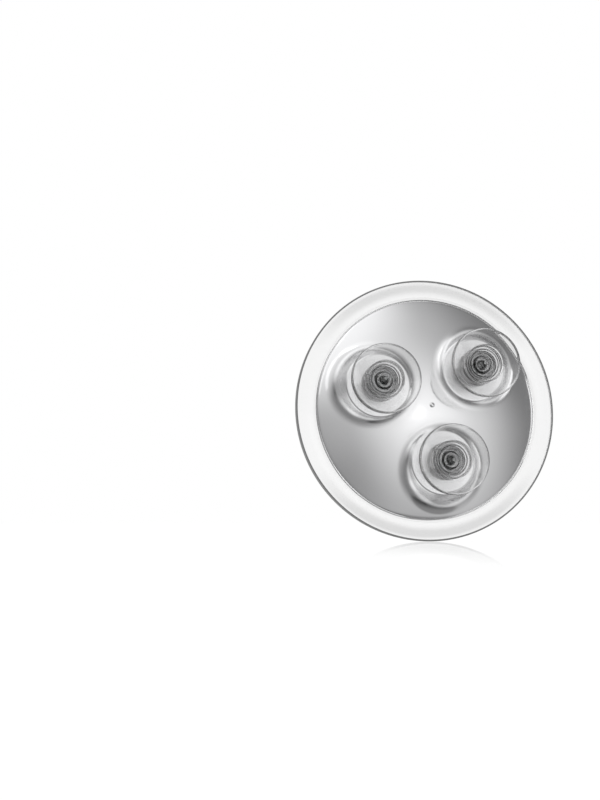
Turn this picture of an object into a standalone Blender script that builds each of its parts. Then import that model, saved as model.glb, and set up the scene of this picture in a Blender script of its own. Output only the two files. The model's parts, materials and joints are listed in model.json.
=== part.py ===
"""Round magnifying wall mirror with a clear rim and three clear suction cups.

The wall touches the plane Y = 0, where the three cup lips lie. The mirror looks along -Y,
Z is up, and the origin is in the wall plane, on the mirror's own axis. Lengths are in metres.
"""

import math

import bmesh
import bpy

# Clear rim, a ring about the cover's skirt
RIM_WIDTH = 0.0114
RIM_EDGE_ROUND = 0.0008
RIM_BEVEL_WIDTH = 0.0062
RIM_BEVEL_DROP = 0.0007
RIM_LIP_WIDTH = 0.0015
RIM_LIP_THICKNESS = 0.0008
RIM_BORE_CHAMFER = 0.0011

# Silver back cover
COVER_DIAMETER = 0.1276
COVER_SKIRT_WALL = 0.0015
COVER_SHELL_WALL = 0.0018
COVER_RECESS = 0.0012
COVER_EDGE_ROUND = 0.001
COVER_LEDGE_WIDTH = 0.003
COVER_LEDGE_STEP = 0.00063
CROWN_HEIGHT = 0.011
NUB_DIAMETER = 0.0016
NUB_HEIGHT = 0.0008

# Flat pads that carry the cups
PAD_RISE = 0.001
PAD_FLAT_DIAMETER = 0.035
PAD_SHOULDER_ROUND = 0.0012
PAD_SLOPE = math.radians(60)
PAD_COUNT = 3
FIRST_PAD_ANGLE = math.radians(160)

# Magnifying mirror and the tape that holds it
GLASS_THICKNESS = 0.0018
GLASS_CURVATURE_RADIUS = 0.55
TAPE_THICKNESS = 0.0005
TAPE_INSET = 0.0003

# Suction cup, as moulded
CUP_DIAMETER = 0.038
CUP_SPACING = 0.018
CUP_HEIGHT = 0.021
CUP_LIP_LAND = 0.0009
CUP_LIP_EDGE = 0.0024
CUP_BOWL_DEPTH = 0.008
CUP_BOWL_WALL = 0.0024
CUP_DIMPLE_DIAMETER = 0.0115
CUP_DIMPLE_DEPTH = 0.0008
CUP_PIP_DIAMETER = 0.0048
STEM_DIAMETER = 0.0222
STEM_COLLAR_HEIGHT = 0.002
STEM_WAIST_DEPTH = 0.0016
NECK_DIAMETER = 0.0104
HEAD_DIAMETER = 0.0148
HEAD_THICKNESS = 0.0032
HEAD_EDGE = 0.001

# Gap between pieces that touch, how far a cutting tool runs past its work, and the
# distance under which two points are one
FIT_GAP = 0.0003
OVERRUN = 0.001
SAME_POINT = 0.000003

# Facets of a full turn, of a spherical cap from edge to crown, and of a quarter-round edge
LARGE_TURN_FACETS = 72
CUP_TURN_FACETS = 36
SMALL_TURN_FACETS = 12
DOME_FACETS = 9
GLASS_FACETS = 4
BOWL_FACETS = 6
ROUND_FACETS = 3
SHARP_ANGLE = math.radians(30)

RIM_COLOUR = (0.93, 0.94, 0.94, 1.0)
SILVER_COLOUR = (0.72, 0.72, 0.73, 1.0)
MIRROR_COLOUR = (0.86, 0.87, 0.88, 1.0)
TAPE_COLOUR = (0.90, 0.90, 0.88, 1.0)
CUP_COLOUR = (0.90, 0.91, 0.92, 1.0)

# Radii about the mirror's axis
COVER_RADIUS = COVER_DIAMETER / 2
BORE_RADIUS = COVER_RADIUS + FIT_GAP
RIM_RADIUS = BORE_RADIUS + RIM_WIDTH
LIP_RADIUS = BORE_RADIUS - RIM_LIP_WIDTH
SKIRT_INNER_RADIUS = COVER_RADIUS - COVER_SKIRT_WALL
LEDGE_RADIUS = SKIRT_INNER_RADIUS - COVER_LEDGE_WIDTH
GLASS_RADIUS = SKIRT_INNER_RADIUS - FIT_GAP
TAPE_OUTER_RADIUS = GLASS_RADIUS - TAPE_INSET
PAD_PITCH_RADIUS = (CUP_DIAMETER + CUP_SPACING) / (2 * math.sin(math.pi / PAD_COUNT))

# Planes along Y and the dome's curvature, from the wall towards the face
PAD_Y = -CUP_HEIGHT
CROWN_Y = PAD_Y - PAD_RISE
RIM_BACK_Y = CROWN_Y - CROWN_HEIGHT
DOME_EDGE_Y = RIM_BACK_Y - COVER_RECESS
DOME_RISE = CROWN_Y - DOME_EDGE_Y
DOME_RADIUS = (COVER_RADIUS ** 2 + DOME_RISE ** 2) / (2 * DOME_RISE)
INNER_DOME_RADIUS = DOME_RADIUS - COVER_SHELL_WALL
INNER_EDGE_Y = CROWN_Y - DOME_RADIUS + math.sqrt(INNER_DOME_RADIUS ** 2 - LEDGE_RADIUS ** 2)
LEDGE_Y = INNER_EDGE_Y - COVER_LEDGE_STEP
TAPE_BACK_Y = LEDGE_Y - FIT_GAP
TAPE_FRONT_Y = TAPE_BACK_Y - TAPE_THICKNESS
GLASS_BACK_Y = TAPE_FRONT_Y - FIT_GAP
SKIRT_MOUTH_Y = GLASS_BACK_Y - GLASS_THICKNESS
RIM_LIP_Y = SKIRT_MOUTH_Y - FIT_GAP
RIM_FRONT_Y = RIM_LIP_Y - RIM_LIP_THICKNESS


def clear_scene():
    """Remove every object of the start-up scene."""
    for item in list(bpy.data.objects):
        bpy.data.objects.remove(item, do_unlink=True)


def material(name, colour, roughness, metallic):
    """Give one plain Principled material."""
    result = bpy.data.materials.new(name)
    result.use_nodes = True
    shader = result.node_tree.nodes["Principled BSDF"]
    shader.inputs["Base Color"].default_value = colour
    shader.inputs["Roughness"].default_value = roughness
    shader.inputs["Metallic"].default_value = metallic
    result.diffuse_color = colour
    return result


def arc(centre, radius, start_deg, end_deg, facets):
    """Points of an arc in the (radius, height) plane, ends included."""
    points = []
    for step in range(facets + 1):
        angle = math.radians(start_deg + (end_deg - start_deg) * step / facets)
        points.append((centre[0] + radius * math.cos(angle), centre[1] + radius * math.sin(angle)))
    return points


def cap(crown, radius, outer, inner, facets):
    """Points down or up a spherical cap about Y, from one distance off the axis to another."""
    points = []
    for step in range(facets + 1):
        across = outer + (inner - outer) * step / facets
        points.append((across, crown - radius + math.sqrt(radius ** 2 - across ** 2)))
    return points


def turned_mesh(name, outline, facets):
    """Spin a closed (radius, height) outline once about Y into a closed mesh."""
    shape = bmesh.new()
    corners = [shape.verts.new((across, height, 0)) for across, height in outline]
    edges = [shape.edges.new((corners[i - 1], corners[i])) for i in range(len(corners))]
    on_axis = [edge for edge in edges if edge.verts[0].co.x == 0 and edge.verts[1].co.x == 0]
    bmesh.ops.delete(shape, geom=on_axis, context="EDGES_FACES")
    wire = list(shape.verts) + list(shape.edges)
    bmesh.ops.spin(shape, geom=wire, axis=(0, 1, 0), cent=(0, 0, 0), angle=math.tau,
                   steps=facets, use_merge=True, use_duplicate=False)
    bmesh.ops.remove_doubles(shape, verts=list(shape.verts), dist=SAME_POINT)
    bmesh.ops.recalc_face_normals(shape, faces=list(shape.faces))
    mesh = bpy.data.meshes.new(name)
    shape.to_mesh(mesh)
    shape.free()
    mesh.shade_smooth()
    mesh.set_sharp_from_angle(angle=SHARP_ANGLE)
    return mesh


def place(name, mesh, finish=None, location=(0, 0, 0)):
    """Put a mesh into the scene as one named object."""
    result = bpy.data.objects.new(name, mesh)
    bpy.context.collection.objects.link(result)
    result.location = location
    if finish and not mesh.materials:
        mesh.materials.append(finish)
    return result


def tool(name, outline, facets, location=(0, 0, 0)):
    """Make a turned shape that only adds to or cuts another one."""
    result = place(name, turned_mesh(name, outline, facets), location=location)
    result.hide_render = True
    result.display_type = "WIRE"
    return result


def combine(target, operand, operation):
    """Leave one exact Boolean on the target."""
    step = target.modifiers.new(operand.name, "BOOLEAN")
    step.solver = "EXACT"
    step.operation = operation
    step.object = operand


def pad_places():
    """Centres of the pads' flat tops, the upper left one first as the wall sees them."""
    places = []
    for index in range(PAD_COUNT):
        angle = FIRST_PAD_ANGLE - index * math.tau / PAD_COUNT
        x = -PAD_PITCH_RADIUS * math.cos(angle)
        z = PAD_PITCH_RADIUS * math.sin(angle)
        places.append((x, PAD_Y, z))
    return places


def rim_outline():
    """Clear ring: stepped bore, bevelled face and rounded outer edge."""
    bevel_radius = RIM_RADIUS - RIM_EDGE_ROUND - RIM_BEVEL_WIDTH
    bevel_front = RIM_FRONT_Y + RIM_BEVEL_DROP + RIM_EDGE_ROUND
    edge_radius = RIM_RADIUS - RIM_EDGE_ROUND
    outline = [
        (LIP_RADIUS, RIM_FRONT_Y),
        (bevel_radius, RIM_FRONT_Y),
    ]
    outline += arc((edge_radius, bevel_front), RIM_EDGE_ROUND, -90, 0, ROUND_FACETS)
    outline += arc((edge_radius, RIM_BACK_Y - RIM_EDGE_ROUND), RIM_EDGE_ROUND, 0, 90, ROUND_FACETS)
    outline += [
        (BORE_RADIUS + RIM_BORE_CHAMFER, RIM_BACK_Y),
        (BORE_RADIUS, RIM_BACK_Y - RIM_BORE_CHAMFER),
        (BORE_RADIUS, RIM_LIP_Y),
        (LIP_RADIUS, RIM_LIP_Y),
    ]
    return outline


def cover_outline():
    """Outside of the cover as a full turned solid: straight skirt, rounded edge and dome."""
    round_centre = (COVER_RADIUS - COVER_EDGE_ROUND, DOME_EDGE_Y - COVER_EDGE_ROUND)
    dome = cap(CROWN_Y, DOME_RADIUS, COVER_RADIUS, 0, DOME_FACETS)
    outline = [(0, SKIRT_MOUTH_Y), (COVER_RADIUS, SKIRT_MOUTH_Y)]
    outline += arc(round_centre, COVER_EDGE_ROUND, 0, 60, ROUND_FACETS)
    outline += dome[1:]
    return outline


def cavity_outline():
    """Space inside the cover: the mirror's seat, the ledge and the inner dome."""
    inner_crown = CROWN_Y - COVER_SHELL_WALL
    outline = [
        (0, SKIRT_MOUTH_Y - OVERRUN),
        (SKIRT_INNER_RADIUS, SKIRT_MOUTH_Y - OVERRUN),
        (SKIRT_INNER_RADIUS, LEDGE_Y),
        (LEDGE_RADIUS, LEDGE_Y),
    ]
    outline += cap(inner_crown, INNER_DOME_RADIUS, LEDGE_RADIUS, 0, DOME_FACETS)
    return outline


def trim(shape, radius):
    """Cut a pad or its hollow off where it would reach past a radius about the mirror's axis."""
    low, high = SKIRT_MOUTH_Y, PAD_Y + 2 * OVERRUN
    outline = [(0, low), (radius, low), (radius, high), (0, high)]
    limit = tool(shape.name + "_limit", outline, LARGE_TURN_FACETS)
    # half a facet off the dome's own facets, so that no two edges meet
    limit.rotation_euler.y = math.pi / LARGE_TURN_FACETS
    combine(shape, limit, "INTERSECT")


def pad_outline():
    """Raised pad about its own centre: flat top, rounded shoulder and sloping side."""
    flat = PAD_FLAT_DIAMETER / 2
    turn_deg = math.degrees(math.pi / 2 - PAD_SLOPE)
    centre = (flat, -PAD_SHOULDER_ROUND)
    shoulder = arc(centre, PAD_SHOULDER_ROUND, turn_deg, 90, ROUND_FACETS + 1)
    side_top = shoulder[0]
    foot_y = LEDGE_Y - PAD_Y
    foot = side_top[0] + (side_top[1] - foot_y) / math.tan(PAD_SLOPE)
    return [(0, foot_y), (foot, foot_y)] + shoulder + [(0, 0)]


def pad_hollow_outline():
    """Hollow under a pad, one shell wall inside it, and the hole for the cup's neck."""
    foot_y, foot = LEDGE_Y - PAD_Y, pad_outline()[1][0]
    foot -= COVER_SHELL_WALL / math.sin(PAD_SLOPE)
    top = foot + (foot_y + COVER_SHELL_WALL) / math.tan(PAD_SLOPE)
    hole = NECK_DIAMETER / 2 + FIT_GAP
    return [
        (0, foot_y),
        (foot, foot_y),
        (top, -COVER_SHELL_WALL),
        (hole, -COVER_SHELL_WALL),
        (hole, OVERRUN),
        (0, OVERRUN),
    ]


def cup_outline():
    """Section of one cup about its neck, with Y = 0 on the pad it stands on."""
    lip = CUP_DIAMETER / 2
    stem = STEM_DIAMETER / 2
    waist = stem - STEM_WAIST_DEPTH
    neck = NECK_DIAMETER / 2
    head = HEAD_DIAMETER / 2
    head_top = -COVER_SHELL_WALL - FIT_GAP
    head_bottom = head_top - HEAD_THICKNESS

    bowl_mouth = lip - CUP_LIP_LAND
    bowl_radius = (bowl_mouth ** 2 + CUP_BOWL_DEPTH ** 2) / (2 * CUP_BOWL_DEPTH)
    floor = CUP_HEIGHT - CUP_BOWL_DEPTH

    def bowl(across):
        return floor + bowl_radius - math.sqrt(bowl_radius ** 2 - across ** 2)

    stem_top = bowl(stem) - CUP_BOWL_WALL
    collar = STEM_COLLAR_HEIGHT
    dimple = CUP_DIMPLE_DIAMETER / 2
    pip = CUP_PIP_DIAMETER / 2
    dimple_floor = bowl(dimple) - CUP_DIMPLE_DEPTH

    outline = [
        (0, head_bottom),
        (neck, head_bottom),
        (head, head_top - HEAD_EDGE),
        (head, head_top),
        (neck, head_top),
        (neck, FIT_GAP),
        (stem, FIT_GAP),
        (stem, FIT_GAP + collar),
        (waist, FIT_GAP + collar + STEM_WAIST_DEPTH),
        (waist, stem_top - collar - STEM_WAIST_DEPTH),
        (stem, stem_top - collar),
    ]
    lip_under = CUP_HEIGHT - CUP_LIP_EDGE
    for step in range(BOWL_FACETS):
        across = stem + (lip - stem) * step / (BOWL_FACETS - 1)
        rise = bowl(across) - bowl(stem)
        full_rise = bowl(lip) - bowl(stem)
        outline.append((across, stem_top + (lip_under - stem_top) * rise / full_rise))
    outline.append((lip, CUP_HEIGHT))
    for step in range(BOWL_FACETS + 1):
        across = bowl_mouth + (dimple - bowl_mouth) * step / BOWL_FACETS
        outline.append((across, bowl(across)))
    outline += [
        (dimple, dimple_floor),
        (pip, dimple_floor),
        (pip, bowl(pip)),
        (0, bowl(pip)),
    ]
    return outline


def make_rim():
    """The clear acrylic ring."""
    finish = material("clear_acrylic", RIM_COLOUR, 0.05, 0.0)
    place("clear_rim", turned_mesh("clear_rim", rim_outline(), LARGE_TURN_FACETS), finish)


def make_cover():
    """The silver cover: a shell with three pierced pads and a moulding nub."""
    finish = material("silver_plastic", SILVER_COLOUR, 0.2, 0.9)
    cover = place("back_cover", turned_mesh("back_cover", cover_outline(), LARGE_TURN_FACETS), finish)
    cavity = tool("cavity", cavity_outline(), LARGE_TURN_FACETS)
    for index, spot in enumerate(pad_places(), start=1):
        pad = tool(f"pad_{index}", pad_outline(), CUP_TURN_FACETS, spot)
        trim(pad, COVER_RADIUS - COVER_EDGE_ROUND)
        combine(cover, pad, "UNION")
        hollow = tool(f"pad_hollow_{index}", pad_hollow_outline(), CUP_TURN_FACETS, spot)
        trim(hollow, LEDGE_RADIUS - COVER_SHELL_WALL)
        combine(cavity, hollow, "UNION")
    nub = NUB_DIAMETER / 2
    root = CROWN_Y - COVER_SHELL_WALL / 2
    outline = [(0, root), (nub, root), (nub, CROWN_Y + NUB_HEIGHT), (0, CROWN_Y + NUB_HEIGHT)]
    combine(cover, tool("nub", outline, SMALL_TURN_FACETS), "UNION")
    combine(cover, cavity, "DIFFERENCE")


def make_mirror():
    """The sagged glass with its hollow side to the front, and its tape ring."""
    finish = material("mirror_glass", MIRROR_COLOUR, 0.02, 1.0)
    sag = GLASS_CURVATURE_RADIUS - math.sqrt(GLASS_CURVATURE_RADIUS ** 2 - GLASS_RADIUS ** 2)
    back_radius = GLASS_CURVATURE_RADIUS + GLASS_THICKNESS
    back_sag = back_radius - math.sqrt(back_radius ** 2 - GLASS_RADIUS ** 2)
    front = cap(SKIRT_MOUTH_Y + sag, GLASS_CURVATURE_RADIUS, 0, GLASS_RADIUS, GLASS_FACETS)
    back = cap(GLASS_BACK_Y + back_sag, back_radius, GLASS_RADIUS, 0, GLASS_FACETS)
    place("mirror_glass", turned_mesh("mirror_glass", front + back, LARGE_TURN_FACETS), finish)

    finish = material("white_tape", TAPE_COLOUR, 0.8, 0.0)
    outline = [
        (LEDGE_RADIUS, TAPE_FRONT_Y),
        (TAPE_OUTER_RADIUS, TAPE_FRONT_Y),
        (TAPE_OUTER_RADIUS, TAPE_BACK_Y),
        (LEDGE_RADIUS, TAPE_BACK_Y),
    ]
    place("mirror_tape", turned_mesh("mirror_tape", outline, LARGE_TURN_FACETS), finish)


def make_cups():
    """Three alike cups, each with its origin on its own turning axis."""
    finish = material("clear_soft_plastic", CUP_COLOUR, 0.1, 0.0)
    mesh = turned_mesh("suction_cup", cup_outline(), CUP_TURN_FACETS)
    for index, spot in enumerate(pad_places(), start=1):
        place(f"suction_cup_{index}", mesh, finish, spot)


clear_scene()
make_rim()
make_cover()
make_mirror()
make_cups()
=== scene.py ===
import json
import math

import bpy
import numpy as np
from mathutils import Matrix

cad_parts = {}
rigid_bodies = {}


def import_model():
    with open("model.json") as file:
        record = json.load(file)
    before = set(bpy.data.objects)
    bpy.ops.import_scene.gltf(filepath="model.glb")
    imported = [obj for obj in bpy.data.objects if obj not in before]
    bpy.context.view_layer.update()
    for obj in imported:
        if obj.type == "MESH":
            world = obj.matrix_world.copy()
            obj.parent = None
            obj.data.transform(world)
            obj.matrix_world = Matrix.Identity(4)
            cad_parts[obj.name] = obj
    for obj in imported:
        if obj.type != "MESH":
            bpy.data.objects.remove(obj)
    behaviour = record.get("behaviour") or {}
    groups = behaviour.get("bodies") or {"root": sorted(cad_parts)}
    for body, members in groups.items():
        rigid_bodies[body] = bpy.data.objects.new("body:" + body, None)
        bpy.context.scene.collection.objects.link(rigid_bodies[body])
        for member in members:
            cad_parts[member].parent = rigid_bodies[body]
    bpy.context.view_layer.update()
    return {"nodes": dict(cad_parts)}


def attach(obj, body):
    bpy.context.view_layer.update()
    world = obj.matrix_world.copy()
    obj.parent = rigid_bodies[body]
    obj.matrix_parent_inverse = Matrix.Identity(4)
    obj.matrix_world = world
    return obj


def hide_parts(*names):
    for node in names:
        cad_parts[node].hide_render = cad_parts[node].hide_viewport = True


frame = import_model()
print("frame loaded:", sorted(frame["nodes"]))

mm = 0.001  # sizes are written in millimetres
sharpDeg = 40  # edges that turn by more than this stay sharp
smooth = {"interpolation_type": "SMOOTHSTEP"}


def linear(hexColour):
    # sRGB to linear: c / 12.92 up to 0.04045, above that ((c + 0.055) / 1.055) to the power 2.4
    part = np.array([int(hexColour[k:k + 2], 16) / 255 for k in (1, 3, 5)])
    part = np.where(part <= 0.04045, part / 12.92, ((part + 0.055) / 1.055) ** 2.4)
    return (*part.tolist(), 1.0)


def addNode(tree, kind, settings=None, values=None, links=None):
    node = tree.nodes.new(kind)
    for key, value in (settings or {}).items():
        setattr(node, key, value)
    for socket, value in (values or {}).items():
        node.inputs[socket].default_value = value
    for socket, source in (links or {}).items():
        tree.links.new(source, node.inputs[socket])
    return node


def rounded(corners, steps=8):
    # a chain of (radius, height, rounding) corners, each rounded by an arc that touches both sides:
    # centre = corner + bisector * rounding / sin(half angle), swept from one touching point to the other
    chain = np.array([corner[:2] for corner in corners], float)
    points = [chain[:1]]
    roundings = [corner[2] for corner in corners[1:]]
    for before, corner, after, rounding in zip(chain, chain[1:], chain[2:], roundings):
        sideA, sideB = before - corner, after - corner
        lengthA, lengthB = np.hypot(*sideA), np.hypot(*sideB)
        sideA, sideB = sideA / lengthA, sideB / lengthB
        half = math.acos(np.clip(sideA @ sideB, -1, 1)) / 2
        if rounding <= 0 or half > math.radians(89):  # left sharp, or hardly a corner
            points.append(corner[None])
            continue
        touch = min(rounding / math.tan(half), 0.499 * lengthA, 0.499 * lengthB)  # two arcs never meet
        radius = touch * math.tan(half)
        centre = corner + (sideA + sideB) / np.hypot(*(sideA + sideB)) * radius / math.sin(half)
        start, end = corner + sideA * touch - centre, corner + sideB * touch - centre
        turn = math.atan2(start[0] * end[1] - start[1] * end[0], start @ end)
        angle = math.atan2(start[1], start[0]) + turn * np.linspace(0, 1, steps + 1)
        points.append(centre + radius * np.stack([np.cos(angle), np.sin(angle)], axis=1))
    points.append(chain[-1:])
    return np.concatenate(points)


def turned(profile, turns, centre=(0, 0)):
    # a (radius, height) profile carried once round Y: (x + r cos a, height, z + r sin a)
    angle = np.linspace(0, math.tau, turns, endpoint=False)
    radius, height = profile[:, :1], profile[:, 1:2]
    return np.stack([centre[0] + radius * np.cos(angle), height + 0 * angle,
                     centre[1] + radius * np.sin(angle)], axis=-1)


def skin(name, grid, ring=False):
    # rows of points that run once round; a row of no size is a pole, and ring joins last row to first
    rows, columns = grid.shape[:2]
    pole = np.ptp(grid, axis=1).max(axis=1) < 1e-9
    keep = ~pole[:, None] | (np.arange(columns) == 0)
    index = np.cumsum(keep.ravel()).reshape(keep.shape) - 1
    index = np.where(pole[:, None], index[:, :1], index)
    near, far = (index, np.roll(index, -1, axis=0)) if ring else (index[:-1], index[1:])
    quads = np.stack([near, far, np.roll(far, -1, axis=1), np.roll(near, -1, axis=1)], axis=-1)
    nearPole, farPole = near[:, 0] == near[:, 1], far[:, 0] == far[:, 1]
    faces = quads[~nearPole & ~farPole].reshape(-1, 4)
    fans = np.concatenate([quads[nearPole][:, :, :3], quads[farPole][:, :, [0, 1, 3]]]).reshape(-1, 3)
    points = grid[keep]
    # the signed volume says which way the faces look
    split = np.concatenate([faces[:, [0, 1, 2]], faces[:, [0, 2, 3]], fans])
    a, b, c = (points[split[:, k]] for k in range(3))
    if (a * np.cross(b, c)).sum() < 0:
        faces, fans = faces[:, ::-1], fans[:, ::-1]
    mesh = bpy.data.meshes.new(name)
    mesh.from_pydata(points.tolist(), [], faces.tolist() + fans.tolist())
    mesh.shade_smooth()
    mesh.set_sharp_from_angle(angle=math.radians(sharpDeg))
    piece = bpy.data.objects.new(name, mesh)
    bpy.context.collection.objects.link(piece)
    return piece


rim = {"bore": 64.1, "outer": 75.5, "back": -33.0, "front": -39.03, "lipRadius": 62.6, "lipDepth": 0.8,
       "chamfer": 1.1, "edgeRound": 0.8, "bevelWidth": 6.2, "bevelDrop": 0.75, "bevelRound": 6.0,
       "frontRound": 1.1, "satinFrom": 74.5, "turns": 360}
bevelStart = rim["outer"] - rim["edgeRound"] - rim["bevelWidth"]
# radius, height and rounding of each corner, once round the section
rimCorners = [
    ((rim["lipRadius"] + rim["bore"]) / 2, rim["front"] + rim["lipDepth"], 0),
    (rim["lipRadius"], rim["front"] + rim["lipDepth"], 0.2),
    (rim["lipRadius"], rim["front"], 0.3),
    (bevelStart, rim["front"], rim["bevelRound"]),
    (rim["outer"], rim["front"] + rim["bevelDrop"], rim["frontRound"]),
    (rim["outer"], rim["back"], rim["edgeRound"]),
    (rim["satinFrom"], rim["back"], 0),
    (rim["bore"] + rim["chamfer"], rim["back"], 0.3),
    (rim["bore"], rim["back"] - rim["chamfer"], 0.3),
    (rim["bore"], rim["front"] + rim["lipDepth"], 0.15),
    ((rim["lipRadius"] + rim["bore"]) / 2, rim["front"] + rim["lipDepth"], 0),
]
rimProfile = rounded(rimCorners)[:-1] * mm
clearRim = skin("acrylicRim", turned(rimProfile, rim["turns"]), ring=True)
# the turned outer edge gets a material of its own, painted dark grey as a painted shade for the dark
# outline of the clear edge: every face farther out than satinFrom
faceCentres = np.empty(len(clearRim.data.polygons) * 3)
clearRim.data.polygons.foreach_get("center", faceCentres)
farOut = np.hypot(faceCentres[0::3], faceCentres[2::3]) > rim["satinFrom"] * mm
clearRim.data.polygons.foreach_set("material_index", farOut.astype(int))
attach(clearRim, "mirror_body")
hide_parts("clear_rim")
print("rim made")

cover = {"radius": 63.8, "crown": -22.0, "rise": 12.2, "edgeWidth": 2.4, "edgeDrop": 0.9, "edgeRound": 2.2,
         "shell": 1.8, "mouth": -37.93, "skirtWall": 1.5, "ledgeRadius": 59.3, "ledge": -35.03,
         "padHeight": -21.0, "padRadius": 18.2, "padShoulder": 0.7, "padSlopeDeg": 60, "padFillet": 3.4,
         "holeRadius": 5.5, "holeTurns": 96, "nubRadius": 0.85, "nubHeight": 0.8, "turns": 420,
         "rowsOut": 140, "rowsIn": 56, "halvings": 24, "crowd": 3.0, "crowdMiddle": 20.2,
         "crowdReach": 3.5, "crowdEnds": 27.7, "crowdSteps": 400}
cups = {"spacing": 56.0, "firstDeg": 160.0, "radius": 19.0, "height": 21.0, "turns": 192}
pitch = cups["spacing"] / (2 * math.sin(math.pi / 3))
cupAngles = np.radians(cups["firstDeg"] - 120 * np.arange(3))
cupPlaces = np.stack([-pitch * np.cos(cupAngles), pitch * np.sin(cupAngles)], axis=1)
sphere = (cover["radius"] ** 2 + cover["rise"] ** 2) / (2 * cover["rise"])


def softMax(a, b, reach):
    # the larger of two depths, with a fillet where they are close:
    # max(a, b) + (reach - |a - b|)^2 / (4 reach)
    close = np.maximum(reach - np.abs(a - b), 0)
    return np.maximum(a, b) + close ** 2 / (4 * reach)


def depthIn(x, y, z, inset):
    # how deep a point is inside the cover's form: R - distance from the sphere's centre, joined by fillets
    # to three pads, each the softer min of (top - y) and the distance to its steep side; inset is 0 for
    # the outside and one shell for the inside
    steep = math.radians(cover["padSlopeDeg"])
    depth = sphere - inset - np.sqrt(x ** 2 + z ** 2 + (y - cover["crown"] + sphere) ** 2)
    for place in cupPlaces:
        below = cover["padHeight"] - inset - y
        wide = cover["padRadius"] - np.hypot(x - place[0], z - place[1])
        side = wide * math.sin(steep) + (cover["padHeight"] - y) * math.cos(steep) - inset
        depth = softMax(depth, -softMax(-below, -side, cover["padShoulder"]), cover["padFillet"])
    return depth


def shellHeight(x, z, inset):
    # the height at which that depth is nothing, found for all points at once by halving a bracket
    low, high = np.full(x.shape, cover["mouth"]), np.full(x.shape, cover["padHeight"] + 1)
    for halving in range(cover["halvings"]):
        middle = (low + high) / 2
        within = depthIn(x, middle, z, inset) > 0
        low, high = np.where(within, middle, low), np.where(within, high, middle)
    return (low + high) / 2


def drawnIn(x, z):
    # moves grid points towards the steep side of the nearest pad: inside a circle round the pad, the
    # distance d from its axis is remapped, with rows 1 / (1 + crowd exp(-((d - middle) / reach)^2)) apart
    distance = np.linspace(0, cover["crowdEnds"], cover["crowdSteps"])
    crowd = 1 + cover["crowd"] * np.exp(-((distance - cover["crowdMiddle"]) / cover["crowdReach"]) ** 2)
    travel = np.concatenate([[0], np.cumsum((crowd[1:] + crowd[:-1]) / 2)])
    for place in cupPlaces:
        away = np.hypot(x - place[0], z - place[1])
        moved = np.interp(away / distance[-1] * travel[-1], travel, distance)
        scale = np.where(away < distance[-1], moved / np.maximum(away, 1e-6), 1)
        x, z = place[0] + (x - place[0]) * scale, place[1] + (z - place[1]) * scale
    return x, z


angle = np.linspace(0, math.tau, cover["turns"], endpoint=False)
reach = (cover["radius"] - cover["edgeWidth"]) * np.linspace(0, 1, cover["rowsOut"])[:, None]
topX, topZ = drawnIn(reach * np.cos(angle), reach * np.sin(angle))
nub = cover["nubHeight"] * np.exp(-((reach / cover["nubRadius"]) ** 4))  # left by the mould's gate
top = np.stack([topX, shellHeight(topX, topZ, 0) + nub, topZ], axis=-1)
reachIn = cover["ledgeRadius"] * np.linspace(1, 0, cover["rowsIn"])[:, None]
inX, inZ = drawnIn(reachIn * np.cos(angle), reachIn * np.sin(angle))
inside = np.stack([inX, shellHeight(inX, inZ, cover["shell"]), inZ], axis=-1)
edgeHeight = float(top[-1, 0, 1])
skirtCorners = [
    (reach[-1, 0], edgeHeight, 0),
    (cover["radius"], edgeHeight - cover["edgeDrop"], cover["edgeRound"]),
    (cover["radius"], cover["mouth"], 0.2),
    (cover["radius"] - cover["skirtWall"], cover["mouth"], 0.2),
    (cover["radius"] - cover["skirtWall"], cover["ledge"], 0),
    (cover["ledgeRadius"], cover["ledge"], 0),
]
skirt = turned(rounded(skirtCorners, 6)[1:], cover["turns"])
silverCover = skin("silverCover", np.concatenate([top, skirt, inside]) * mm)
# the cups' necks pass through round holes in the pads; each drill is three walls tall
holeProfile = np.array([[0, -1], [1, -1], [1, 1], [0, 1]]) * [cover["holeRadius"], 1.5 * cover["shell"]]
holeProfile = holeProfile + [0, cover["padHeight"] - cover["shell"] / 2]
for number, place in enumerate(cupPlaces, start=1):
    drill = skin(f"neckHole{number}", turned(holeProfile, cover["holeTurns"], place) * mm)
    cut = silverCover.modifiers.new(f"neckHole{number}", "BOOLEAN")
    cut.object, cut.operation, cut.solver = drill, "DIFFERENCE", "EXACT"
pierced = bpy.data.meshes.new_from_object(silverCover.evaluated_get(bpy.context.evaluated_depsgraph_get()))
silverCover.modifiers.clear()
silverCover.data = pierced
pierced.set_sharp_from_angle(angle=math.radians(sharpDeg))
for number in (1, 2, 3):
    bpy.data.objects.remove(bpy.data.objects[f"neckHole{number}"])
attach(silverCover, "mirror_body")
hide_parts("back_cover")
print("cover made")

glass = {"radius": 62.0, "thickness": 1.8, "curvature": 550.0, "mouth": -37.93, "arris": 0.3, "rows": 24,
         "turns": 240}
sag = glass["curvature"] - math.sqrt(glass["curvature"] ** 2 - glass["radius"] ** 2)
spread = np.linspace(0, glass["radius"] - glass["arris"], glass["rows"])
# both faces are arcs about one centre on the axis: height = centre + sqrt(curvature^2 - r^2)
centre = glass["mouth"] + sag - glass["curvature"]
backCurve = glass["curvature"] + glass["thickness"]
hollow = np.stack([spread, centre + np.sqrt(glass["curvature"] ** 2 - spread ** 2)], axis=1)
bulge = np.stack([spread, centre + np.sqrt(backCurve ** 2 - spread ** 2)], axis=1)
edge = np.array([[glass["radius"], hollow[-1, 1] + glass["arris"]],
                 [glass["radius"], bulge[-1, 1] - glass["arris"]]])
glassProfile = np.concatenate([hollow, edge, bulge[::-1]]) * mm
mirrorGlass = skin("silveredGlass", turned(glassProfile, glass["turns"]))
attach(mirrorGlass, "mirror_body")
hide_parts("mirror_glass")
print("glass made")

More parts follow.
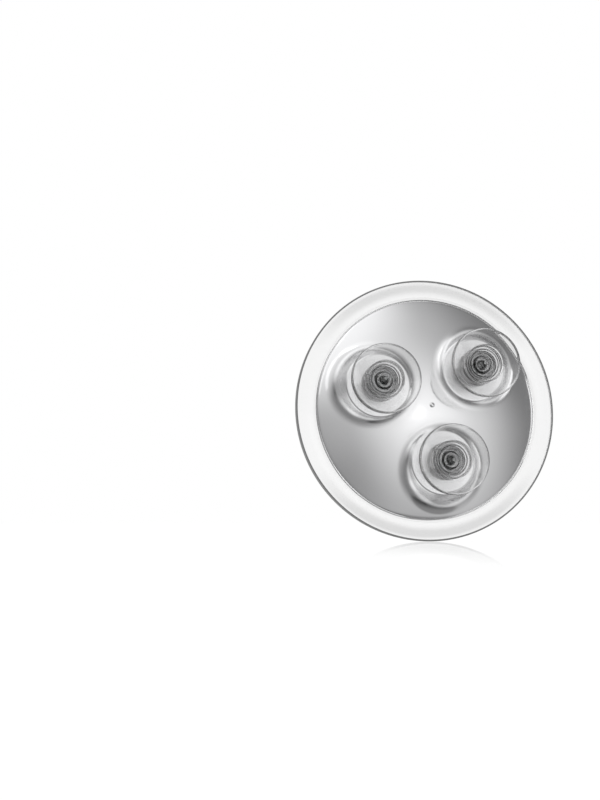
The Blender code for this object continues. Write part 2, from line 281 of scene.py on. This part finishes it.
cups.update({"lipLand": 0.9, "lipEdge": 2.4, "bowlDepth": 8.0, "bowlPower": 1.35, "wall": 2.4,
             "dimple": 5.75, "dimpleDepth": 1.2, "pip": 2.4, "stem": 11.1, "collar": 2.0, "waist": 1.6,
             "neck": 5.2, "head": 7.4, "headTop": -2.1, "headThickness": 3.2, "headEdge": 1.0, "foot": 0.3,
             "grooves": [7.3, 8.7, 10.1], "grooveHalf": 0.4, "grooveDepth": 0.5,
             "bead": 4.0, "beadHalf": 0.6, "beadHeight": 0.9, "pipHeight": 1.3, "floorRound": 0.5,
             "bowlRows": 90, "underRows": 14, "floorRows": 50})


def bowl(across):
    # inside of the bowl over the pad: lip - depth * (1 - (r / mouth) ^ power), a cone with a soft middle
    mouth = cups["radius"] - cups["lipLand"]
    return cups["height"] - cups["bowlDepth"] * (1 - (across / mouth) ** cups["bowlPower"])


bowlOut = np.linspace(cups["radius"] - cups["lipLand"], cups["dimple"], cups["bowlRows"])[1:-1]
# turning marks of the mould round the hub: the bowl less depth * exp(-((r - ring) / half)^2) for each ring
grooves = sum(cups["grooveDepth"] * np.exp(-((bowlOut - ring) / cups["grooveHalf"]) ** 2)
              for ring in cups["grooves"])
stemTop = bowl(cups["stem"]) - cups["wall"]
# the dimple's floor carries a bead, height * exp(-((r - bead) / half)^2), and a pip in the middle,
# height * (1 - (r / pip)^2)
floorRun = np.linspace(cups["dimple"] - cups["floorRound"], 0, cups["floorRows"])
floorHeight = (bowl(cups["dimple"]) - cups["dimpleDepth"]
               + cups["beadHeight"] * np.exp(-((floorRun - cups["bead"]) / cups["beadHalf"]) ** 2)
               + cups["pipHeight"] * np.maximum(1 - (floorRun / cups["pip"]) ** 2, 0))
underRun = np.linspace(cups["stem"], cups["radius"], cups["underRows"])[1:-1]
underRise = (bowl(underRun) - bowl(cups["stem"])) / (bowl(cups["radius"]) - bowl(cups["stem"]))
underHeight = stemTop + (cups["height"] - cups["lipEdge"] - stemTop) * underRise
headFoot = cups["headTop"] - cups["headThickness"]
waistRadius = cups["stem"] - cups["waist"]
# radius, height and rounding of each corner, from the middle of the head to the middle of the dimple
cupCorners = [
    (0, headFoot, 0),
    (cups["neck"], headFoot, 0.4),
    (cups["head"], cups["headTop"] - cups["headEdge"], 0.4),
    (cups["head"], cups["headTop"], 0.3),
    (cups["neck"], cups["headTop"], 0.3),
    (cups["neck"], cups["foot"], 0.3),
    (cups["stem"], cups["foot"], 0.4),
    (cups["stem"], cups["foot"] + cups["collar"], 0.4),
    (waistRadius, cups["foot"] + cups["collar"] + cups["waist"], 0.8),
    (waistRadius, stemTop - cups["collar"] - cups["waist"], 0.8),
    (cups["stem"], stemTop - cups["collar"], 0.4),
    (cups["stem"], stemTop, 0.8),
    *[(r, h, 0) for r, h in zip(underRun, underHeight)],
    (cups["radius"], cups["height"] - cups["lipEdge"], 0.4),
    (cups["radius"], cups["height"], 0.45),
    (cups["radius"] - cups["lipLand"], cups["height"], 0.45),
    *[(r, h, 0) for r, h in zip(bowlOut, bowl(bowlOut) - grooves)],
    (cups["dimple"], bowl(cups["dimple"]), 0.15),
    (cups["dimple"], bowl(cups["dimple"]) - cups["dimpleDepth"], 0.3),
    *[(r, h, 0) for r, h in zip(floorRun, floorHeight)],
]
cupProfile = rounded(cupCorners, 6) + [0, cover["padHeight"]]
vinylCups = []
for number, place in enumerate(cupPlaces, start=1):
    cup = skin(f"vinylCup{number}", turned(cupProfile, cups["turns"], place) * mm)
    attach(cup, f"cup_{number}")
    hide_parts(f"suction_cup_{number}")
    vinylCups.append(cup)
print("cups made")


def startMaterial(name):
    material = bpy.data.materials.new(name)
    material.use_nodes = True
    tree = material.node_tree
    tree.nodes.clear()
    place = addNode(tree, "ShaderNodeTexCoord").outputs["Object"]
    return material, tree, place


# cast acrylic, turned and polished: water clear, with a faint waviness left by polishing
rim.update({"shadeFrom": 66.5, "shadeFull": 70.5, "shadeFades": 72.5, "shadeEnds": 74.5, "steepFrom": 30.0,
            "steepFull": 65.0, "waveLength": 16.667, "waveHeight": 0.2, "toolPitch": 0.5236})
acrylic, tree, place = startMaterial("polishedAcrylic")
# along its outer half the ring is painted a little greyer at the top and the bottom, a painted shade for
# how its bevel
# bends the sight line there: tone by distance from the axis, times how steeply the place lies above or
# below it
flat = addNode(tree, "ShaderNodeVectorMath", {"operation": "MULTIPLY"}, {1: (1, 0, 1)}, {0: place})
far = addNode(tree, "ShaderNodeVectorMath", {"operation": "LENGTH"}, links={0: flat.outputs[0]})
axes = addNode(tree, "ShaderNodeSeparateXYZ", links={"Vector": flat.outputs[0]})
steep = addNode(tree, "ShaderNodeMath", {"operation": "ABSOLUTE"}, links={0: axes.outputs["Z"]})
band = None
for start, full, value in (("shadeFrom", "shadeFull", far), ("shadeEnds", "shadeFades", far),
                           ("steepFrom", "steepFull", steep)):
    part = addNode(tree, "ShaderNodeMapRange", smooth, {
        "From Min": rim[start] * mm, "From Max": rim[full] * mm}, {"Value": value.outputs["Value"]})
    band = part if band is None else addNode(
        tree, "ShaderNodeMath", {"operation": "MULTIPLY"}, links={0: band.outputs[0], 1: part.outputs[0]})
# painted shade: the ramp runs from the clear tone to the painted grey of the bevel's shade
tone = addNode(tree, "ShaderNodeValToRGB", links={"Fac": band.outputs[0]})
tone.color_ramp.elements[0].color = linear("#F2F2F2")
tone.color_ramp.elements[1].color = linear("#D8D8D8")
waves = addNode(tree, "ShaderNodeTexNoise", values={"Scale": 1 / (rim["waveLength"] * mm), "Detail": 1.0},
                links={"Vector": place})
relief = addNode(tree, "ShaderNodeBump", values={"Strength": 0.04, "Distance": rim["waveHeight"] * mm},
                 links={"Height": waves.outputs["Fac"]})
shader = addNode(tree, "ShaderNodeBsdfPrincipled", values={
    "Roughness": 0.0, "IOR": 1.49, "Transmission Weight": 1.0},
    links={"Base Color": tone.outputs["Color"], "Normal": relief.outputs["Normal"]})
addNode(tree, "ShaderNodeOutputMaterial", links={"Surface": shader.outputs[0]})

# the same acrylic on its outer edge, painted dark satin grey from outside: a painted shade standing in for
# the dark outline that refraction gives the edge, with fine rings round it like lathe tool marks, while
# light inside the ring still passes along the wall as in the polished faces; a wave repeats every tau / 20
# / scale, and the tool marks are coarser than real to show
shadedEdge, tree, place = startMaterial("acrylicEdgePaintedShade")
rings = addNode(tree, "ShaderNodeTexWave", {"bands_direction": "Y"}, {
    "Scale": math.tau / 20 / (rim["toolPitch"] * mm), "Distortion": 0.4}, {"Vector": place})
tone = addNode(tree, "ShaderNodeValToRGB", links={"Fac": rings.outputs["Fac"]})
# painted shade: these two greys colour the edge dark where refraction would darken it
tone.color_ramp.elements[0].color = linear("#737373")
tone.color_ramp.elements[1].color = linear("#8A8A8A")
satin = addNode(tree, "ShaderNodeBsdfPrincipled", values={"Roughness": 0.42, "IOR": 1.49},
                links={"Base Color": tone.outputs["Color"]})
within = addNode(tree, "ShaderNodeBsdfPrincipled", values={
    "Base Color": linear("#F0F0F0"), "Roughness": 0.0, "IOR": 1.49, "Transmission Weight": 1.0})
sideSeen = addNode(tree, "ShaderNodeNewGeometry").outputs["Backfacing"]
shader = addNode(tree, "ShaderNodeMixShader",
                 links={0: sideSeen, 1: satin.outputs[0], 2: within.outputs[0]})
addNode(tree, "ShaderNodeOutputMaterial", links={"Surface": shader.outputs[0]})

# soft vinyl, injection moulded: clear and glossy, and smoky only where it is thick, as in the stems
cups["flowLength"] = 11.111
vinyl, tree, place = startMaterial("clearSoftVinyl")
flow = addNode(tree, "ShaderNodeTexNoise", values={"Scale": 1 / (cups["flowLength"] * mm), "Detail": 1.0},
               links={"Vector": place})
tone = addNode(tree, "ShaderNodeMapRange", values={
    "From Min": 0.4, "From Max": 0.7, "To Min": 0.0, "To Max": 0.02}, links={"Value": flow.outputs["Fac"]})
shader = addNode(tree, "ShaderNodeBsdfPrincipled", values={
    "Base Color": linear("#FCFCFC"), "IOR": 1.54, "Specular IOR Level": 1.0, "Transmission Weight": 1.0},
    links={"Roughness": tone.outputs[0]})
depth = addNode(tree, "ShaderNodeVolumeAbsorption", values={"Color": linear("#BCBCBC"), "Density": 50.0})
addNode(tree, "ShaderNodeOutputMaterial", links={"Surface": shader.outputs[0], "Volume": depth.outputs[0]})

# ABS, metallised and lacquered: a soft silver mirror with the faint orange peel of the lacquer, and satin
# on the pads, where the mould was sanded: roughness rises by satin where the nearest pad's axis is close
cover.update({"peelLength": 2.0, "peelHeight": 0.05, "satinFrom": 28.0, "satinFull": 22.5, "satin": 0.14})
silver, tree, place = startMaterial("metallisedPlastic")
peel = addNode(tree, "ShaderNodeTexNoise", values={"Scale": 1 / (cover["peelLength"] * mm), "Detail": 2.0},
               links={"Vector": place})
tone = addNode(tree, "ShaderNodeMapRange", values={
    "From Min": 0.3, "From Max": 0.7, "To Min": 0.08, "To Max": 0.12}, links={"Value": peel.outputs["Fac"]})
relief = addNode(tree, "ShaderNodeBump", values={"Strength": 0.02, "Distance": cover["peelHeight"] * mm},
                 links={"Height": peel.outputs["Fac"]})
flat = addNode(tree, "ShaderNodeVectorMath", {"operation": "MULTIPLY"}, {1: (1, 0, 1)}, {0: place})
nearest = None
for padX, padZ in cupPlaces * mm:
    away = addNode(tree, "ShaderNodeVectorMath", {"operation": "DISTANCE"}, {1: (padX, 0, padZ)},
                   {0: flat.outputs[0]})
    nearest = away if nearest is None else addNode(
        tree, "ShaderNodeMath", {"operation": "MINIMUM"},
        links={0: nearest.outputs["Value"], 1: away.outputs["Value"]})
satin = addNode(tree, "ShaderNodeMapRange", smooth, {
    "From Min": cover["satinFrom"] * mm, "From Max": cover["satinFull"] * mm, "To Max": cover["satin"]},
    {"Value": nearest.outputs["Value"]})
tone = addNode(tree, "ShaderNodeMath", {"operation": "ADD"},
               links={0: tone.outputs[0], 1: satin.outputs[0]})
shader = addNode(tree, "ShaderNodeBsdfPrincipled", values={
    "Base Color": linear("#D4D4D5"), "Metallic": 1.0},
    links={"Roughness": tone.outputs[0], "Normal": relief.outputs["Normal"]})
addNode(tree, "ShaderNodeOutputMaterial", links={"Surface": shader.outputs[0]})

# glass, silvered on its back: a clean mirror with the faint grey green of its thickness
glass["filmLength"] = 40.0
silvered, tree, place = startMaterial("silveredGlass")
film = addNode(tree, "ShaderNodeTexNoise", values={"Scale": 1 / (glass["filmLength"] * mm), "Detail": 3.0},
               links={"Vector": place})
tone = addNode(tree, "ShaderNodeMapRange", values={
    "From Min": 0.4, "From Max": 0.8, "To Min": 0.01, "To Max": 0.02}, links={"Value": film.outputs["Fac"]})
shader = addNode(tree, "ShaderNodeBsdfPrincipled", values={
    "Base Color": linear("#E4E7E6"), "Metallic": 1.0}, links={"Roughness": tone.outputs[0]})
addNode(tree, "ShaderNodeOutputMaterial", links={"Surface": shader.outputs[0]})

# foam tape: matt white with the fine open cells of the foam
foamCell = {"width": 0.3333, "height": 0.2}
foam, tree, place = startMaterial("foamTape")
cells = addNode(tree, "ShaderNodeTexVoronoi", values={"Scale": 1 / (foamCell["width"] * mm)},
                links={"Vector": place})
tone = addNode(tree, "ShaderNodeValToRGB", links={"Fac": cells.outputs["Distance"]})
tone.color_ramp.elements[0].color = linear("#D8D6D0")
tone.color_ramp.elements[1].color = linear("#F0EEE8")
relief = addNode(tree, "ShaderNodeBump", values={"Strength": 0.4, "Distance": foamCell["height"] * mm},
                 links={"Height": cells.outputs["Distance"]})
shader = addNode(tree, "ShaderNodeBsdfPrincipled", values={"Roughness": 0.9},
                 links={"Base Color": tone.outputs["Color"], "Normal": relief.outputs["Normal"]})
addNode(tree, "ShaderNodeOutputMaterial", links={"Surface": shader.outputs[0]})

clearRim.data.materials.append(acrylic)
clearRim.data.materials.append(shadedEdge)
silverCover.data.materials.append(silver)
mirrorGlass.data.materials.append(silvered)
for cup in vinylCups:
    cup.data.materials.append(vinyl)
tape = frame["nodes"]["mirror_tape"]
for slot in tape.material_slots:
    slot.material = foam
print("materials made")

studio = {"floorSize": 12000.0, "floorHeight": -75.6, "tableWhite": 1.1, "litShare": 0.15,
          "floorGloss": 0.38, "glossRoughness": 0.03, "glossMiddle": (0, 60), "glossReach": (105, 340),
          "plainLevel": 0.75, "roomDark": 0.27, "wallsFrom": 0.3, "leastLevel": 0.03}
half = studio["floorSize"] / 2
corners = np.array([[-half, -half, 0], [half, -half, 0], [half, half, 0], [-half, half, 0]])
mesh = bpy.data.meshes.new("floor")
mesh.from_pydata(((corners + [0, 0, studio["floorHeight"]]) * mm).tolist(), [], [(0, 1, 2, 3)])
floor = bpy.data.objects.new("floor", mesh)
bpy.context.collection.objects.link(floor)
# glossy white table: mostly the white of the picture, the object's shadow and its mirror image, which
# fades with the distance from the object's foot; reflections in the object look past it into the studio
table, tree, place = startMaterial("whiteTable")
paths = addNode(tree, "ShaderNodeLightPath")
# an oval, longer behind the object: length of ((x - middle) / reach across, (y - middle) / reach along)
reachAcross, reachAlong = (value * mm for value in studio["glossReach"])
middleX, middleY = (value * mm for value in studio["glossMiddle"])
oval = addNode(tree, "ShaderNodeVectorMath", {"operation": "MULTIPLY_ADD"}, {
    1: (1 / reachAcross, 1 / reachAlong, 0), 2: (-middleX / reachAcross, -middleY / reachAlong, 0)},
    {0: place})
oval = addNode(tree, "ShaderNodeVectorMath", {"operation": "LENGTH"}, links={0: oval.outputs[0]})
share = addNode(tree, "ShaderNodeMapRange", smooth, {
    "From Min": 1.0, "From Max": 0.0, "To Max": studio["floorGloss"]}, {"Value": oval.outputs["Value"]})
white = addNode(tree, "ShaderNodeEmission", values={
    "Color": (1, 1, 1, 1), "Strength": studio["tableWhite"]})
lit = addNode(tree, "ShaderNodeBsdfDiffuse", values={"Color": linear("#F2F2F2")})
gloss = addNode(tree, "ShaderNodeBsdfGlossy", values={
    "Color": (1, 1, 1, 1), "Roughness": studio["glossRoughness"]})
ground = addNode(tree, "ShaderNodeMixShader", values={0: studio["litShare"]},
                 links={1: white.outputs[0], 2: lit.outputs[0]})
ground = addNode(tree, "ShaderNodeMixShader", links={
    0: share.outputs[0], 1: ground.outputs[0], 2: gloss.outputs[0]})
past = addNode(tree, "ShaderNodeBsdfTransparent")
shader = addNode(tree, "ShaderNodeMixShader",
                 links={0: paths.outputs["Is Glossy Ray"], 1: ground.outputs[0], 2: past.outputs[0]})
addNode(tree, "ShaderNodeOutputMaterial", links={"Surface": shader.outputs[0]})
floor.data.materials.append(table)

world = bpy.data.worlds.new("studio")
bpy.context.scene.world = world
world.use_nodes = True
tree = world.node_tree
tree.nodes.clear()
look = addNode(tree, "ShaderNodeTexCoord").outputs["Generated"]
axes = addNode(tree, "ShaderNodeSeparateXYZ", links={"Vector": look})
# side angle from +Y towards +X, and angle above the level, both in degrees
side = addNode(tree, "ShaderNodeMath", {"operation": "ARCTAN2"},
               links={0: axes.outputs["X"], 1: axes.outputs["Y"]})
side = addNode(tree, "ShaderNodeMath", {"operation": "MULTIPLY"}, {1: 180 / math.pi}, {0: side.outputs[0]})
rise = addNode(tree, "ShaderNodeMath", {"operation": "ARCSINE"}, links={0: axes.outputs["Z"]})
rise = addNode(tree, "ShaderNodeMath", {"operation": "MULTIPLY"}, {1: 180 / math.pi}, {0: rise.outputs[0]})

# soft lamps as the silver sees them: side, rise, half width and half height in degrees, how much of
# that is full, its squareness (2 is an oval, more is a box) and the level; a level below nothing is a
# dark screen, which takes light away
lamps = [
    (-7, 2, 30, 45, 0.0, 2, 0.62),
    (8, 33, 69, 78, 0.27, 2, 0.47),
    (51, 58, 73, 60, 0.45, 2, 0.67),
    (-29, -44, 70, 44, 0.2, 2, 0.37),
    (-32, -5, 35, 39, 0.07, 2, 0.6),
    (43, 26, 7, 13, 0.9, 8, 0.35),
    (36, 48, 7, 10, 0.9, 8, 0.9),
    (-74, 3, 7, 17, 0.9, 8, 1.3),
    (-120, 42, 60, 36, 0.4, 2, -0.6),
    (95, -46, 36, 18, 0.4, 2, 0.4),
    (-8, 5, 5, 3, 0.8, 4, 0.3),
    (-20, -66, 60, 28, 0.75, 2, -0.32),
    (-150, -70, 75, 20, 0.5, 2, -0.6),
    (100, 6, 35, 28, 0.4, 2, -0.5),
]
level = None
for lampSide, lampRise, halfWide, halfHigh, full, squareness, strength in lamps:
    # distance from the lamp's middle: (|u| ^ squareness + |v| ^ squareness) ^ (1 / squareness)
    parts = []
    for turn, middle, extent in ((side, lampSide, halfWide), (rise, lampRise, halfHigh)):
        part = addNode(tree, "ShaderNodeMath", {"operation": "MULTIPLY_ADD"},
                       {1: 1 / extent, 2: -middle / extent}, {0: turn.outputs[0]})
        part = addNode(tree, "ShaderNodeMath", {"operation": "ABSOLUTE"}, links={0: part.outputs[0]})
        part = addNode(tree, "ShaderNodeMath", {"operation": "POWER"}, {1: squareness},
                       {0: part.outputs[0]})
        parts.append(part.outputs[0])
    total = addNode(tree, "ShaderNodeMath", {"operation": "ADD"}, links={0: parts[0], 1: parts[1]})
    apart = addNode(tree, "ShaderNodeMath", {"operation": "POWER"}, {1: 1 / squareness},
                    {0: total.outputs[0]})
    glow = addNode(tree, "ShaderNodeMapRange", smooth, {
        "From Min": 1.0, "From Max": full, "To Max": strength}, {"Value": apart.outputs[0]})
    level = glow if level is None else addNode(
        tree, "ShaderNodeMath", {"operation": "ADD"}, links={0: level.outputs[0], 1: glow.outputs[0]})

# the room is dark on the side that the cover faces and turns to white walls on the other
walls = addNode(tree, "ShaderNodeMapRange", smooth, {
    "From Min": studio["wallsFrom"], "From Max": 0.0, "To Min": studio["roomDark"]},
    {"Value": axes.outputs["Y"]})
level = addNode(tree, "ShaderNodeMath", {"operation": "ADD"},
                links={0: level.outputs[0], 1: walls.outputs[0]})
level = addNode(tree, "ShaderNodeMath", {"operation": "MAXIMUM"}, {1: studio["leastLevel"]},
                {0: level.outputs[0]})
# in front of the mirror hangs a grey cloth with soft slanting bands of light: their level is the cosine of
# the angle across them, one band for every bandStep of the look direction; a low gap in it, on one side,
# leaves white what the table mirrors under the object
cloth = {"across": (0.64, 0.0, 0.77), "bandStep": 0.13, "bandMiddle": 0.29, "dark": 0.27, "light": 0.66,
         "starts": -0.72, "whole": -0.86, "gapRise": 0.035, "gapHalf": 0.025, "gapFades": 0.06,
         "gapSide": -0.09, "gapSideEnds": -0.03}
slant = addNode(tree, "ShaderNodeVectorMath", {"operation": "DOT_PRODUCT"}, {1: cloth["across"]}, {0: look})
waveCount = math.tau / cloth["bandStep"]
band = addNode(tree, "ShaderNodeMath", {"operation": "MULTIPLY_ADD"},
               {1: waveCount, 2: -waveCount * cloth["bandMiddle"]}, {0: slant.outputs["Value"]})
band = addNode(tree, "ShaderNodeMath", {"operation": "COSINE"}, links={0: band.outputs[0]})
band = addNode(tree, "ShaderNodeMapRange", {}, {
    "From Min": -1.0, "From Max": 1.0, "To Min": cloth["dark"], "To Max": cloth["light"]},
    {"Value": band.outputs[0]})
ahead = addNode(tree, "ShaderNodeMapRange", smooth, {
    "From Min": cloth["starts"], "From Max": cloth["whole"]}, {"Value": axes.outputs["Y"]})
offGap = addNode(tree, "ShaderNodeMath", {"operation": "SUBTRACT"}, {1: cloth["gapRise"]},
                 {0: axes.outputs["Z"]})
offGap = addNode(tree, "ShaderNodeMath", {"operation": "ABSOLUTE"}, links={0: offGap.outputs[0]})
offGap = addNode(tree, "ShaderNodeMapRange", smooth, {
    "From Min": cloth["gapHalf"], "From Max": cloth["gapFades"]}, {"Value": offGap.outputs[0]})
aside = addNode(tree, "ShaderNodeMapRange", smooth, {
    "From Min": cloth["gapSide"], "From Max": cloth["gapSideEnds"]}, {"Value": axes.outputs["X"]})
whole = addNode(tree, "ShaderNodeMath", {"operation": "MAXIMUM"},
                links={0: offGap.outputs[0], 1: aside.outputs[0]})
hung = addNode(tree, "ShaderNodeMath", {"operation": "MULTIPLY"},
               links={0: ahead.outputs[0], 1: whole.outputs[0]})
level = addNode(tree, "ShaderNodeMix", {"data_type": "FLOAT"}, links={
    0: hung.outputs[0], 2: level.outputs[0], 3: band.outputs[0]})

paths = addNode(tree, "ShaderNodeLightPath")
# the camera sees plain white round the object, also straight through its clear pieces; the silver and the
# glass see the room, and matt surfaces are lit evenly
noGloss = addNode(tree, "ShaderNodeMath", {"operation": "LESS_THAN"}, {1: 0.5},
                  {0: paths.outputs["Glossy Depth"]})
throughOnly = addNode(tree, "ShaderNodeMath", {"operation": "MULTIPLY"},
                      links={0: paths.outputs["Is Transmission Ray"], 1: noGloss.outputs[0]})
showsWhite = addNode(tree, "ShaderNodeMath", {"operation": "MAXIMUM"},
                     links={0: paths.outputs["Is Camera Ray"], 1: throughOnly.outputs[0]})
room = addNode(tree, "ShaderNodeBackground", values={"Color": (1, 1, 1, 1)},
               links={"Strength": level.outputs[0]})
plain = addNode(tree, "ShaderNodeBackground", values={
    "Color": (1, 1, 1, 1), "Strength": studio["plainLevel"]})
backdrop = addNode(tree, "ShaderNodeBackground", values={"Color": (1, 1, 1, 1), "Strength": 1.0})
seen = addNode(tree, "ShaderNodeMixShader",
               links={0: paths.outputs["Is Diffuse Ray"], 1: room.outputs[0], 2: plain.outputs[0]})
seen = addNode(tree, "ShaderNodeMixShader",
               links={0: showsWhite.outputs[0], 1: seen.outputs[0], 2: backdrop.outputs[0]})
addNode(tree, "ShaderNodeOutputWorld", links={"Surface": seen.outputs[0]})

view = {"position": (123.8, 418.2, -65.1), "yawDeg": 173.6, "pitchDeg": -8.57, "lens": 36.63,
        "sensor": 36.0, "clipStart": 10.0}
lensData = bpy.data.cameras.new("camera")
lensData.lens = view["lens"]
lensData.sensor_width = view["sensor"]
lensData.clip_start = view["clipStart"] * mm
camera = bpy.data.objects.new("camera", lensData)
bpy.context.collection.objects.link(camera)
camera.location = [value * mm for value in view["position"]]
camera.rotation_euler = (math.radians(90 - view["pitchDeg"]), 0, math.radians(view["yawDeg"]))
bpy.context.scene.camera = camera
bpy.context.scene.view_settings.view_transform = "Standard"
print("studio made")

bpy.context.view_layer.update()
